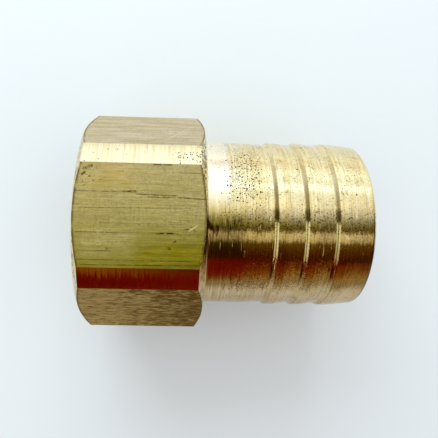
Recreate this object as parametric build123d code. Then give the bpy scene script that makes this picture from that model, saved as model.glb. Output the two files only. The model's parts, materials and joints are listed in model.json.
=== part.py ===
"""Hose barb tail, turned in one piece from hexagon brass bar.

The head keeps the bar's six flats for a spanner, with its corners turned down to a narrow cylinder and
both ends chamfered. A female pipe-thread port opens in the head's end face. Past the shoulder the bar is
turned down to a tail with a plain neck and three shallow barbs, which a soft hose is pushed over. A plain
waterway runs from the bottom of the port out through the nose.

Lengths are in millimetres and angles in degrees. +X runs along the axis from the head to the nose, and
+Z is up. The part lies on one flat of its hexagon. The origin is under the middle of its length, on the
surface that it lies on.
"""

from build123d import *
import math
import os

# --- head ---------------------------------------------------------------------------------------------
across_flats = 41.0
corner_diameter = 45.0  # the six corners of the bar are turned down to this
head_length = 24.0
end_chamfer_angle = 30.0  # between a chamfer and the end face that it leaves
end_face_diameter = 40.8  # where both chamfers start, just inside the flats

# --- tail ---------------------------------------------------------------------------------------------
tail_length = 32.0  # from the head's shoulder to the nose
neck_diameter = 34.6
neck_length = 7.5  # the straight part, next to the shoulder
shoulder_fillet = 0.7
nose_diameter = 33.9
nose_edge_radius = 0.7

# --- barbs: each has a steep flank facing the head, a narrow land, and a long slope to the nose ----------
barb_count = 3
crest_diameter = 35.0
root_diameter = 34.0
first_crest = 13.5  # from the shoulder to the head side of the first land
barb_pitch = 5.75
flank_length = 0.7
land_length = 1.6
root_radius = 0.3

# --- inside -------------------------------------------------------------------------------------------
port_diameter = 30.291  # over the crests of the 1 inch parallel pipe thread, cut later
port_mouth_diameter = 34.0
port_depth = 18.0
waterway_diameter = 28.0
bore_edge = 0.4  # the chamfer on the nose's inner edge

# --- places that follow from the sizes -------------------------------------------------------------------
head_end = -(head_length + tail_length) / 2
shoulder = head_end + head_length
nose = shoulder + tail_length
axis_height = across_flats / 2
fuse_depth = 2.0  # how far the tail's blank reaches into the head, hidden there
part_axis = Axis((0, 0, 0), (1, 0, 0))


def radial(diameter: float) -> float:
    """The radius of a turned diameter."""
    return diameter / 2


def nearest_corner(face: Sketch, x: float, radius: float) -> Vertex:
    """The corner of a turning profile at a given place."""
    return face.vertices().sort_by_distance((x, radius, 0))[0]


def turned(points: list) -> Sketch:
    """A turning profile: a closed outline of (x, radius) points beside the axis."""
    return make_face(Polyline(*points, close=True))


def head() -> Part:
    """A length of hexagon bar inside the cylinder and the two chamfers that the lathe leaves."""
    hexagon = RegularPolygon(radius=across_flats / 2, side_count=6, major_radius=False)
    bar = extrude(Plane.YZ.offset(head_end) * hexagon, amount=head_length)

    chamfer_height = radial(corner_diameter) - radial(end_face_diameter)
    chamfer_length = chamfer_height * math.tan(math.radians(end_chamfer_angle))
    envelope = turned(
        [
            (head_end, 0),
            (head_end, radial(end_face_diameter)),
            (head_end + chamfer_length, radial(corner_diameter)),
            (shoulder - chamfer_length, radial(corner_diameter)),
            (shoulder, radial(end_face_diameter)),
            (shoulder, 0),
        ]
    )
    return bar & revolve(envelope, axis=part_axis)


def barb_points() -> list:
    """Root, flank and land of each barb in turn, head side first."""
    points = []
    for number in range(barb_count):
        crest = shoulder + first_crest + number * barb_pitch
        points.append((crest - flank_length, radial(root_diameter)))
        points.append((crest, radial(crest_diameter)))
        points.append((crest + land_length, radial(crest_diameter)))
    return points


def tail() -> Part:
    """The neck, barbs and nose, with a hidden disc that joins them to the head."""
    disc_radius = radial(neck_diameter) + shoulder_fillet
    barbs = barb_points()
    profile = turned(
        [
            (shoulder - fuse_depth, 0),
            (shoulder - fuse_depth, disc_radius),
            (shoulder, disc_radius),
            (shoulder + shoulder_fillet, radial(neck_diameter)),
            (shoulder + neck_length, radial(neck_diameter)),
            *barbs,
            (nose, radial(nose_diameter)),
            (nose, 0),
        ]
    )
    roots = barbs[::3]
    profile = fillet([nearest_corner(profile, x, r) for x, r in roots], root_radius)
    profile = fillet(nearest_corner(profile, nose, radial(nose_diameter)), nose_edge_radius)
    return revolve(profile, axis=part_axis)


def hollow() -> Part:
    """The space inside: the port's mouth and bore, then the waterway and its edge at the nose."""
    mouth_length = radial(port_mouth_diameter) - radial(port_diameter)
    seat = head_end + port_depth
    profile = turned(
        [
            (head_end, 0),
            (head_end, radial(port_mouth_diameter)),
            (head_end + mouth_length, radial(port_diameter)),
            (seat, radial(port_diameter)),
            (seat, radial(waterway_diameter)),
            (nose - bore_edge, radial(waterway_diameter)),
            (nose, radial(waterway_diameter) + bore_edge),
            (nose, 0),
        ]
    )
    return revolve(profile, axis=part_axis)


hose_tail = Pos(0, 0, axis_height) * (head() + tail() - hollow())

os.makedirs("parts", exist_ok=True)
export_step(hose_tail, "parts/hose_tail.step")
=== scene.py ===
# %% [markdown]
# # A turned brass hose tail, dressed in Blender
#
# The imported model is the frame: one solid, `hose_tail`, lying on one flat of its hexagon. This notebook
# stands a finer copy of that solid in its place, with the pipe thread cut in its port, and gives it the
# three finishes that such a part has: drawn skin on the flats, turning rings on what the lathe has cut, and
# a bored inside. Every length is in metres, in the frame's own axes: +X from head to nose and +Z up.

import json
import math
from functools import reduce

import bmesh
import bpy
from mathutils import Matrix, Vector


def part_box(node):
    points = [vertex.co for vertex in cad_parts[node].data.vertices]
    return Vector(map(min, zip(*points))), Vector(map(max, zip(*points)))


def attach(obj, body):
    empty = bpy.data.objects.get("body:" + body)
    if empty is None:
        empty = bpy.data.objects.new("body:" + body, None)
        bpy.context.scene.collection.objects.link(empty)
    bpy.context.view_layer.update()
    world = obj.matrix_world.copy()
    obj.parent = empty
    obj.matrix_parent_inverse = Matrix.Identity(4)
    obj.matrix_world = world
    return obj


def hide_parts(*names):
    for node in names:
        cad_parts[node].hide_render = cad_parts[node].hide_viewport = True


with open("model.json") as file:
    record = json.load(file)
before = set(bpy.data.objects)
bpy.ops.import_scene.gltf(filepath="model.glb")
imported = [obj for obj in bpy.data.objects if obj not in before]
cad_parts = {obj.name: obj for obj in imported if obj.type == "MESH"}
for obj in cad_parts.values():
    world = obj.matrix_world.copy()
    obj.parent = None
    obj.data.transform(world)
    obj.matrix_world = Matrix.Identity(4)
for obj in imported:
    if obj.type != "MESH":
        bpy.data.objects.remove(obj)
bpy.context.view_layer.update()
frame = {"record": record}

# %% [markdown]
# ## The sizes that everything follows
#
# The mounts carry the real sizes of the port, the waterway and the barbs, and the solid's box carries the
# length and the height across the flats. What no mount or box gives is written down here once, as the
# drawing of the part would give it.

# %% Sizes
MM = 0.001
mounts = {mount["name"]: mount for mount in frame["record"]["mounts"]}
body_low, body_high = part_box("hose_tail")

head_end = body_low.x
nose = body_high.x
axis_height = mounts["waterway"]["pos_m"][2]
across_flats = body_high.z - body_low.z
corner_radius = (body_high.y - body_low.y) / 2
head_length = 24.0 * MM
shoulder = head_end + head_length
end_face_radius = 20.4 * MM
chamfer_slope = math.tan(math.radians(30.0))

port_radius = mounts["thread_port"]["dims"]["r_mm"] * MM
port_depth = 18.0 * MM
thread_pitch = 25.4 * MM / 11  # 11 turns to the inch
thread_depth = 1.479 * MM
mouth_radius = 17.0 * MM
waterway_radius = mounts["waterway"]["dims"]["r_mm"] * MM
bore_edge = 0.4 * MM

neck_radius = 17.3 * MM
neck_length = 7.5 * MM
shoulder_fillet = 0.7 * MM
crest_radius = mounts["hose_seat"]["dims"]["r_mm"] * MM
root_radius = 17.0 * MM
first_crest = 13.5 * MM
barb_pitch = 5.75 * MM
barb_count = 3
flank_length = 0.7 * MM
land_length = 1.6 * MM
nose_radius = 16.95 * MM
nose_edge = 0.7 * MM
print("head from", round(head_end / MM, 2), "to", round(shoulder / MM, 2), "mm, nose at", round(nose / MM, 2))

# %% [markdown]
# ## The turning profile
#
# On a lathe the whole part is one closed outline, swept round the axis: along the outside from the port's
# mouth to the nose, and back through the bore. So the profile is drawn first, as a loop of corners. Each
# corner has an edge break, because a real tool and a real deburring leave no perfect edge, and each run has
# a spacing, which sets how many rows of faces it gets.

# %% Edge breaks and row spacing
SHARP = 0.0
deburred = 0.08 * MM
barb_root_round = 0.3 * MM
barb_crest_round = 0.06 * MM
land_end_round = 0.15 * MM
seat_round = 0.05 * MM

WIDE_ROWS = 0.9 * MM
END_ROWS = 0.6 * MM
TAIL_ROWS = 0.5 * MM
LAND_ROWS = 0.25 * MM
EDGE_ROWS = 0.3 * MM
BORE_ROWS = 2.0 * MM
THREAD_ROWS = 0.165 * MM
print("rows to each turn of the thread:", round(thread_pitch / THREAD_ROWS, 1))

# %% The corners, each as x, radius, edge break, and the spacing of the rows up to the next corner


def barb_corners():
    """Root, flank top and land end of each barb, head side first."""
    corners = []
    for number in range(barb_count):
        crest = shoulder + first_crest + number * barb_pitch
        corners.append((crest - flank_length, root_radius, barb_root_round, TAIL_ROWS))
        corners.append((crest, crest_radius, barb_crest_round, LAND_ROWS))
        corners.append((crest + land_length, crest_radius, land_end_round, TAIL_ROWS))
    return corners


chamfer_length = (corner_radius - end_face_radius) * chamfer_slope
seat = head_end + port_depth
thread_start = head_end + mouth_radius - port_radius
outside = [
    (head_end, mouth_radius, deburred, WIDE_ROWS),
    (head_end, end_face_radius, deburred, TAIL_ROWS),
    (head_end + chamfer_length, corner_radius, SHARP, WIDE_ROWS),
    (shoulder - chamfer_length, corner_radius, SHARP, TAIL_ROWS),
    (shoulder, end_face_radius, deburred, END_ROWS),
    (shoulder, neck_radius, shoulder_fillet, TAIL_ROWS),
    (shoulder + neck_length, neck_radius, SHARP, TAIL_ROWS),
    *barb_corners(),
    (nose, nose_radius, nose_edge, END_ROWS),
]
inside = [
    (nose, waterway_radius + bore_edge, SHARP, EDGE_ROWS),
    (nose - bore_edge, waterway_radius, SHARP, BORE_ROWS),
    (seat, waterway_radius, seat_round, END_ROWS),
    (seat, port_radius, SHARP, THREAD_ROWS),
    (thread_start, port_radius, SHARP, LAND_ROWS),
]
print("the outside has", len(outside), "corners and the inside", len(inside))

# %% Rounded corners, and rows between them
ARC_STEPS = 4
NO_ROWS = 1.0  # metres, so that no point is added along an arc


def rounded(corners):
    """The closed loop of corners with each edge break turned into a short arc of points."""
    loop = []
    for index, (x, radius, edge_break, spacing) in enumerate(corners):
        here = Vector((x, radius))
        if edge_break == SHARP:
            loop.append((here, spacing))
            continue
        before = (Vector(corners[index - 1][:2]) - here).normalized()
        after = (Vector(corners[(index + 1) % len(corners)][:2]) - here).normalized()
        half_angle = before.angle(after) / 2
        reach = edge_break / math.tan(half_angle)
        centre = here + (before + after).normalized() * (edge_break / math.sin(half_angle))
        start = here + before * reach - centre
        end = here + after * reach - centre
        for step in range(ARC_STEPS + 1):
            arm = start.slerp(end, step / ARC_STEPS).normalized() * edge_break
            loop.append((centre + arm, spacing if step == ARC_STEPS else NO_ROWS))
    return loop


def with_rows(loop):
    """The loop with points added along each run, so that rows are no further apart than its spacing."""
    points = []
    for index, (here, spacing) in enumerate(loop):
        there = loop[(index + 1) % len(loop)][0]
        rows = max(1, math.ceil((there - here).length / spacing - 1e-6))
        for row in range(rows):
            points.append(here.lerp(there, row / rows))
    return points


profile = with_rows(rounded(outside + inside))
print("the profile has", len(profile), "points")

# %% [markdown]
# ## Helpers for node trees
#
# Geometry trees and shader trees are wired in the same way, so one small function adds a node, gives it its
# settings, and joins or fills its inputs by name or by number. Three more cover what comes up most often: a
# sum, one colour turning into another, and a smooth step from 0 to 1. Trees could be drawn by hand in the
# node editor, but then the sizes above couldn't drive them.

# %% Wiring


def add(tree, kind, inputs=None, **settings):
    """Adds a node to a tree. Inputs given as sockets are joined, and others are set as values."""
    node = tree.nodes.new(kind)
    for name, value in settings.items():
        setattr(node, name, value)
    for key, value in (inputs or {}).items():
        if isinstance(value, bpy.types.NodeSocket):
            tree.links.new(value, node.inputs[key])
        else:
            node.inputs[key].default_value = value
    return node


def calc(tree, operation, *values, clamp=False):
    """One Math node, and its result."""
    inputs = dict(enumerate(values))
    return add(tree, "ShaderNodeMath", inputs, operation=operation, use_clamp=clamp).outputs[0]


def blend(tree, share, first, second):
    """One colour turning into another as the share goes from 0 to 1."""
    ends = [(*colour, 1.0) if isinstance(colour, tuple) else colour for colour in (first, second)]
    inputs = {0: share, 6: ends[0], 7: ends[1]}
    return add(tree, "ShaderNodeMix", inputs, data_type="RGBA").outputs[2]


def eased(tree, value, low, high):
    """0 where the value is low and 1 where it is high, or the other way if low is the greater."""
    inputs = {"Value": value, "From Min": low, "From Max": high}
    return add(tree, "ShaderNodeMapRange", inputs, interpolation_type="SMOOTHSTEP").outputs[0]


# %% [markdown]
# ## Sweeping the profile round the axis
#
# A Screw modifier could turn the profile, but it can't keep the bar's six flats or cut a thread. A Geometry
# Nodes tree can, because the whole shape follows two rules. The first: no point of the head stands further
# from the axis than the flat in its direction, and where a flat cuts the head back, the chamfer ends earlier
# too, which gives the curved edges that a real nut has. The second: in the port, the wall is cut back by a
# groove that moves on by one pitch for each turn. The columns of faces are spaced so that one falls exactly
# on each edge between a flat and a turned corner.

# %% Start the tree
FLAT_COUNT = 6
FLAT_COLUMNS = 22
CORNER_COLUMNS = 8

tree = bpy.data.node_groups.new("turn_hexagon_bar", "GeometryNodeTree")
tree.interface.new_socket("Geometry", in_out="INPUT", socket_type="NodeSocketGeometry")
tree.interface.new_socket("Geometry", in_out="OUTPUT", socket_type="NodeSocketGeometry")

tree_sizes = {
    "Axis Height": axis_height,
    "Across Flats": across_flats,
    "Corner Radius": corner_radius,
    "End Face Radius": end_face_radius,
    "Chamfer Slope": chamfer_slope,
    "Head Middle": (head_end + shoulder) / 2,
    "Head Half Length": head_length / 2,
    "Port Radius": port_radius,
    "Thread Pitch": thread_pitch,
    "Thread Depth": thread_depth,
    "Thread Start": thread_start,
    "Thread End": seat,
    "Run Out": 3.5 * MM,
}
for name in tree_sizes:
    tree.interface.new_socket(name, in_out="INPUT", socket_type="NodeSocketFloat")
for name in ("Flat Columns", "Corner Columns"):
    tree.interface.new_socket(name, in_out="INPUT", socket_type="NodeSocketInt")
for name in ("Drawn Skin", "Turned Skin", "Bored Skin"):
    tree.interface.new_socket(name, in_out="INPUT", socket_type="NodeSocketMaterial")
given = add(tree, "NodeGroupInput").outputs
print("the turning tree has", len(given) - 1, "inputs")


def gn(operation, *values, clamp=False):
    """A Math node in the turning tree."""
    return calc(tree, operation, *values, clamp=clamp)


# %% The columns: an angle for each, with one on every edge of a flat
half_flat = gn("DIVIDE", given["Across Flats"], 2.0)
edge_angle = gn("ARCCOSINE", gn("DIVIDE", half_flat, given["Corner Radius"]))
sector = 2 * math.pi / FLAT_COUNT
per_sector = gn("ADD", given["Flat Columns"], given["Corner Columns"])
column_count = gn("MULTIPLY", per_sector, float(FLAT_COUNT))
column = add(tree, "GeometryNodeInputIndex").outputs[0]
sector_number = gn("FLOOR", gn("DIVIDE", column, per_sector))
step = gn("SUBTRACT", column, gn("MULTIPLY", sector_number, per_sector))
on_flat = gn("DIVIDE", step, given["Flat Columns"], clamp=True)
past_flat = gn("MAXIMUM", gn("SUBTRACT", step, given["Flat Columns"]), 0.0)
on_corner = gn("DIVIDE", past_flat, given["Corner Columns"])
flat_part = gn("MULTIPLY", gn("SUBTRACT", gn("MULTIPLY", on_flat, 2.0), 1.0), edge_angle)
corner_part = gn("MULTIPLY", on_corner, gn("SUBTRACT", sector, gn("MULTIPLY", edge_angle, 2.0)))
column_angle = gn("ADD", gn("MULTIPLY", sector_number, sector), gn("ADD", flat_part, corner_part))
print("columns round the part:", FLAT_COUNT * (FLAT_COLUMNS + CORNER_COLUMNS))

# %% The ring: a closed line through the columns, each point remembering its angle
ring_points = add(tree, "GeometryNodeMeshLine", {"Count": column_count}, mode="OFFSET")
ring_sides = {"X": gn("COSINE", column_angle), "Y": gn("SINE", column_angle)}
ring_place = add(tree, "ShaderNodeCombineXYZ", ring_sides)
ring_placed = add(
    tree,
    "GeometryNodeSetPosition",
    {"Geometry": ring_points.outputs["Mesh"], "Position": ring_place.outputs[0]},
)
ring_angle = add(tree, "GeometryNodeCaptureAttribute", {"Geometry": ring_placed.outputs[0]}, domain="POINT")
ring_angle.capture_items.new("FLOAT", "angle")
tree.links.new(column_angle, ring_angle.inputs[1])
ring_line = add(tree, "GeometryNodeMeshToCurve", {"Mesh": ring_angle.outputs[0]})
ring = add(tree, "GeometryNodeSetSplineCyclic", {"Geometry": ring_line.outputs[0], "Cyclic": True})
print("the ring takes", len(tree.nodes), "nodes")

# %% The rows: the profile's own points remember their place along the axis and their radius
point_place = add(tree, "ShaderNodeSeparateXYZ", {0: add(tree, "GeometryNodeInputPosition").outputs[0]})
profile_kept = add(tree, "GeometryNodeCaptureAttribute", {"Geometry": given["Geometry"]}, domain="POINT")
profile_kept.capture_items.new("FLOAT", "along")
profile_kept.capture_items.new("FLOAT", "radius")
tree.links.new(point_place.outputs["X"], profile_kept.inputs[1])
tree.links.new(point_place.outputs["Y"], profile_kept.inputs[2])
profile_curve = add(tree, "GeometryNodeMeshToCurve", {"Mesh": profile_kept.outputs[0]})
swept = add(
    tree,
    "GeometryNodeCurveToMesh",
    {"Curve": ring.outputs[0], "Profile Curve": profile_curve.outputs[0], "Fill Caps": False},
)
angle = ring_angle.outputs[1]
along = profile_kept.outputs[1]
radius = profile_kept.outputs[2]
print("with the sweep, the tree takes", len(tree.nodes), "nodes")

# %% The first rule: the six flats cut the head back, and the chamfers with it
HARDLY_ANY = 1e-7  # metres, less than any real height

nearest_flat = gn("ROUND", gn("DIVIDE", angle, sector))
off_flat = gn("SUBTRACT", angle, gn("MULTIPLY", nearest_flat, sector))
flat_reach = gn("DIVIDE", half_flat, gn("COSINE", off_flat))
bar_reach = gn("MINIMUM", flat_reach, given["Corner Radius"])
above_face = gn("MAXIMUM", gn("SUBTRACT", radius, given["End Face Radius"]), 0.0)
full_height = gn("SUBTRACT", given["Corner Radius"], given["End Face Radius"])
cut_share = gn("DIVIDE", gn("SUBTRACT", bar_reach, given["End Face Radius"]), full_height)
new_above = gn("MULTIPLY", above_face, cut_share)
from_middle = gn("SUBTRACT", along, given["Head Middle"])
old_length = gn("SUBTRACT", given["Head Half Length"], gn("MULTIPLY", above_face, given["Chamfer Slope"]))
new_length = gn("SUBTRACT", given["Head Half Length"], gn("MULTIPLY", new_above, given["Chamfer Slope"]))
stretch = gn("DIVIDE", new_length, old_length)
is_head = gn("GREATER_THAN", above_face, HARDLY_ANY)
stretch_here = gn("ADD", 1.0, gn("MULTIPLY", is_head, gn("SUBTRACT", stretch, 1.0)))
head_along = gn("ADD", given["Head Middle"], gn("MULTIPLY", from_middle, stretch_here))
head_radius = gn("ADD", gn("SUBTRACT", radius, above_face), new_above)
print("a flat is", round(math.degrees(2 * math.acos(across_flats / 2 / corner_radius)), 1), "degrees wide")

# %% The second rule: a right-hand pipe thread, with round crests and roots, that runs out before the seat
WAVE_HEIGHT = 0.62  # these three turn a sine into straight flanks with rounded ends
WAVE_STEEPNESS = 1.25
WAVE_FLATTENING = 1.15
LEAD_IN = 0.4  # of a turn
SEAT_GAP = 0.4 * MM
ON_THE_WALL = 1e-6  # metres

turns = gn("DIVIDE", angle, 2 * math.pi)
phase = gn("MULTIPLY", gn("ADD", gn("DIVIDE", along, given["Thread Pitch"]), turns), 2 * math.pi)
wave = gn("MULTIPLY", gn("SINE", phase), WAVE_HEIGHT)
flattening = gn("MULTIPLY", gn("MULTIPLY", wave, wave), WAVE_FLATTENING)
steep_wave = gn("MULTIPLY", wave, gn("SUBTRACT", WAVE_STEEPNESS, flattening))
groove = gn("ADD", steep_wave, 0.5, clamp=True)
past_start = gn("SUBTRACT", along, given["Thread Start"])
before_end = gn("SUBTRACT", given["Thread End"], along)
lead_in = gn("DIVIDE", past_start, gn("MULTIPLY", given["Thread Pitch"], LEAD_IN), clamp=True)
lead_out = gn("DIVIDE", gn("SUBTRACT", before_end, SEAT_GAP), given["Run Out"], clamp=True)
off_wall = gn("ABSOLUTE", gn("SUBTRACT", radius, given["Port Radius"]))
on_wall = gn("MULTIPLY", gn("LESS_THAN", off_wall, ON_THE_WALL), gn("GREATER_THAN", past_start, 0.0))
depth_here = gn("MULTIPLY", gn("MULTIPLY", on_wall, given["Thread Depth"]), gn("MULTIPLY", lead_in, lead_out))
final_radius = gn("ADD", head_radius, gn("MULTIPLY", groove, depth_here))
print("turns of thread:", round((seat - thread_start) / thread_pitch, 1))

# %% Place the points, with angle 0 straight up
place = add(
    tree,
    "ShaderNodeCombineXYZ",
    {
        "X": head_along,
        "Y": gn("MULTIPLY", final_radius, gn("SINE", angle)),
        "Z": gn("ADD", given["Axis Height"], gn("MULTIPLY", final_radius, gn("COSINE", angle))),
    },
)
placed = add(
    tree,
    "GeometryNodeSetPosition",
    {"Geometry": swept.outputs[0], "Position": place.outputs[0]},
)
print("with both rules, the tree takes", len(tree.nodes), "nodes")

# %% Sharp edges outside, where two cuts meet, and a smooth thread inside
SHARP_TURN = math.radians(7.0)
THREAD_ALLOWANCE = math.radians(60.0)

smooth = add(
    tree,
    "GeometryNodeSetShadeSmooth",
    {"Geometry": placed.outputs[0], "Shade Smooth": True},
    domain="FACE",
)
turn_angle = add(tree, "GeometryNodeInputMeshEdgeAngle").outputs["Unsigned Angle"]
in_thread = gn("GREATER_THAN", depth_here, 0.0)
limit = gn("ADD", SHARP_TURN, gn("MULTIPLY", in_thread, THREAD_ALLOWANCE))
is_sharp = gn("GREATER_THAN", turn_angle, limit)
creased = add(
    tree,
    "GeometryNodeSetShadeSmooth",
    {"Geometry": smooth.outputs[0], "Selection": is_sharp, "Shade Smooth": False},
    domain="EDGE",
)
print("an edge is sharp past", round(math.degrees(SHARP_TURN)), "degrees")

# %% Each cut gets its finish
SLACK = 0.01 * MM
MOUTH_LIP = 0.2 * MM

on_bar = gn("GREATER_THAN", radius, gn("SUBTRACT", given["Corner Radius"], SLACK))
in_flat = gn("LESS_THAN", gn("ABSOLUTE", off_flat), edge_angle)
is_drawn = gn("MULTIPLY", on_bar, in_flat)
is_bored = gn("LESS_THAN", radius, mouth_radius - MOUTH_LIP)
behind_nose = gn("LESS_THAN", along, nose - bore_edge / 2)
dressed = add(
    tree,
    "GeometryNodeSetMaterial",
    {"Geometry": creased.outputs[0], "Material": given["Turned Skin"]},
)
dressed = add(
    tree,
    "GeometryNodeSetMaterial",
    {"Geometry": dressed.outputs[0], "Selection": is_drawn, "Material": given["Drawn Skin"]},
)
real = add(tree, "GeometryNodeRealizeInstances", {"Geometry": dressed.outputs[0]})
dressed = add(
    tree,
    "GeometryNodeSetMaterial",
    {
        "Geometry": real.outputs[0],
        "Selection": gn("MULTIPLY", is_bored, behind_nose),
        "Material": given["Bored Skin"],
    },
)
add(tree, "NodeGroupOutput", {"Geometry": dressed.outputs[0]})
print("the turning tree has", len(tree.nodes), "nodes")

# %% [markdown]
# ## Coordinates that follow the work
#
# Each cut of a lathe leaves rings round the axis, and the drawing die leaves lines along it. Both are easy
# in coordinates that follow the work: the place along the axis, the way round it, and the distance from it.
# A texture image with UVs would do this too, but it would need an unwrapped seam. The materials work these
# three out from Object coordinates instead, in millimetres, so that the patterns are written at real size.
# From them come masks, which are values from 0 to 1 that say where on the part something is.

# %% A finish, with its coordinates and masks
HEAD_END = head_end / MM
SHOULDER = shoulder / MM
NOSE = nose / MM


class Finish:
    """A new material, with coordinates in millimetres that follow the part, and masks made from them."""

    def __init__(self, name):
        self.material = bpy.data.materials.new(name)
        self.material.use_nodes = True
        self.tree = self.material.node_tree
        self.tree.nodes.clear()
        self.place = self.node("ShaderNodeTexCoord").outputs["Object"]
        parts = self.node("ShaderNodeSeparateXYZ", {0: self.place}).outputs
        self.along = self.do("DIVIDE", parts["X"], MM)
        self.sideways = self.do("DIVIDE", parts["Y"], MM)
        upwards = self.do("DIVIDE", self.do("SUBTRACT", parts["Z"], axis_height), MM)
        angle = self.do("ARCTAN2", self.sideways, upwards)
        self.around = self.do("MULTIPLY", angle, neck_radius / MM)
        squares = self.do("ADD", self.do("POWER", self.sideways, 2.0), self.do("POWER", upwards, 2.0))
        self.out = self.do("SQRT", squares)

    def node(self, kind, inputs=None, **settings):
        """A node in this finish's tree."""
        return add(self.tree, kind, inputs, **settings)

    def do(self, operation, *values, clamp=False):
        """A Math node in this finish's tree."""
        return calc(self.tree, operation, *values, clamp=clamp)

    def vector(self, operation, first, second=None, output=0):
        """A Vector Math node in this finish's tree, from a vector and perhaps another, or a scale."""
        inputs = {0: first}
        if second is not None:
            inputs["Scale" if operation == "SCALE" else 1] = second
        return self.node("ShaderNodeVectorMath", inputs, operation=operation).outputs[output]

    def times(self, *values):
        """Several masks and shares multiplied together."""
        return reduce(lambda first, second: self.do("MULTIPLY", first, second), values)

    def either(self, *masks):
        """The greatest of several masks."""
        return reduce(lambda first, second: self.do("MAXIMUM", first, second), masks)

    def level(self, mask, at_zero, at_one):
        """A value that goes from one number to another as the mask goes from 0 to 1."""
        return self.do("MULTIPLY_ADD", mask, at_one - at_zero, at_zero)

    def leaning(self, pattern, amount):
        """A pattern that runs from 0 to 1, made into a small lean to either side."""
        return self.do("MULTIPLY", self.do("SUBTRACT", pattern, 0.5), amount)

    def between(self, value, low, high):
        """0 where the value is low and 1 where it is high, or the other way if low is the greater."""
        return eased(self.tree, value, low, high)

    def window(self, value, low, high, soft):
        """1 between low and high, with soft ends."""
        rise = self.between(value, low - soft, low + soft)
        fall = self.between(value, high + soft, high - soft)
        return self.times(rise, fall)

    def patch(self, along, around, soft):
        """1 inside a patch of the surface, given by its reach along the axis and round it."""
        return self.times(self.window(self.along, *along, soft), self.window(self.around, *around, soft))

    def mix(self, share, first, second):
        """One colour turning into another."""
        return blend(self.tree, share, first, second)


print("head end, shoulder and nose, mm:", [round(place, 2) for place in (HEAD_END, SHOULDER, NOSE)])

# %% [markdown]
# ## Grain, scratches and pits
#
# Three patterns make nearly all the marks on the metal. Grain is noise that is drawn out along the axis or
# round it. A scratch is a thin line between two places. Pits are small round holes, one at most in each cell
# of a Voronoi texture. A painted image could hold all three, but these stay sharp from any distance, and
# they can be moved by changing a number.

# %% The three patterns
SMALL_PIT = 0.35  # added to a random 0 to 1, so that the smallest pit is a quarter of the biggest
PIT_RIM = 0.04  # mm, how soft a pit's edge is


def grain(finish, along_scale, around_scale, detail=2.0, shift=0.0):
    """Noise with a scale of its own along the axis and round it, in features per millimetre."""
    parts = {
        "X": finish.do("MULTIPLY_ADD", finish.along, along_scale, shift),
        "Y": finish.times(finish.around, around_scale),
        "Z": finish.times(finish.out, along_scale),
    }
    where = finish.node("ShaderNodeCombineXYZ", parts).outputs[0]
    inputs = {"Vector": where, "Scale": 1.0, "Detail": detail, "Roughness": 0.6}
    return finish.node("ShaderNodeTexNoise", inputs).outputs["Fac"]


def on_surface(finish):
    """The place on the surface as if it were unrolled: along the axis, then round it."""
    return finish.node("ShaderNodeCombineXYZ", {"X": finish.along, "Y": finish.around}).outputs[0]


def scratch(finish, start, end, width):
    """1 on a thin straight scratch between two places, each given as (along, around)."""
    run = Vector((end[0] - start[0], end[1] - start[1], 0.0))
    from_start = finish.vector("SUBTRACT", on_surface(finish), (*start, 0.0))
    share = finish.vector("DOT_PRODUCT", from_start, run / run.length_squared, output="Value")
    share = finish.do("ADD", share, 0.0, clamp=True)
    nearest = finish.vector("SCALE", run, share)
    distance = finish.vector("DISTANCE", from_start, nearest, output="Value")
    return finish.between(distance, width * 0.7, width * 0.3)


def pits(finish, per_mm, biggest, crowding):
    """1 in small round pits, one at most in each cell, where crowding is the share of cells with one."""
    inputs = {"Vector": on_surface(finish), "Scale": per_mm, "Randomness": 1.0}
    cells = finish.node("ShaderNodeTexVoronoi", inputs, voronoi_dimensions="2D")
    chance = finish.node("ShaderNodeSeparateColor", {0: cells.outputs["Color"]}).outputs
    size = finish.do("ADD", chance["Red"], SMALL_PIT)
    size = finish.times(size, biggest * per_mm / (1.0 + SMALL_PIT))
    inside = finish.do("SUBTRACT", size, cells.outputs["Distance"])
    inside = finish.do("DIVIDE", inside, PIT_RIM * per_mm, clamp=True)
    return finish.times(inside, finish.do("LESS_THAN", chance["Green"], crowding))


print("the smallest pit is", round(SMALL_PIT / (1.0 + SMALL_PIT), 2), "of the biggest")

# %% [markdown]
# ## Metal that shows its tool marks
#
# The side of each fine mark leans a little, and so does its reflection. Modelled marks would take millions
# of faces. Instead the shading normal is leant by the same noise that colours the marks, across them or
# along them. The gloss is anisotropic as well, which means that a highlight is drawn out across the marks,
# as it is on anything turned, drawn or brushed.

# %% Lay, lean and bare metal


def lay_vectors(finish, along_axis):
    """The surface's normal, and on it the way that the tool marks run and the way across them."""
    normal = finish.node("ShaderNodeNewGeometry").outputs["Normal"]
    if along_axis:
        lay = finish.node("ShaderNodeCombineXYZ", {"X": 1.0}).outputs[0]
    else:
        arm = finish.vector("SUBTRACT", finish.place, (0.0, 0.0, axis_height))
        lay = finish.vector("NORMALIZE", finish.vector("CROSS_PRODUCT", arm, (1.0, 0.0, 0.0)))
    across = finish.vector("NORMALIZE", finish.vector("CROSS_PRODUCT", lay, normal))
    return normal, lay, across


def tilted(finish, normal, direction, amount):
    """The normal leant over by a varying amount, as the sides of fine marks do."""
    lean = finish.vector("SCALE", direction, amount)
    return finish.vector("NORMALIZE", finish.vector("ADD", normal, lean))


def sunk(finish, height, depth, normal):
    """The normal as it stands where a pattern of heights is pressed into the surface."""
    inputs = {"Height": height, "Distance": depth, "Normal": normal}
    return finish.node("ShaderNodeBump", inputs).outputs[0]


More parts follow.
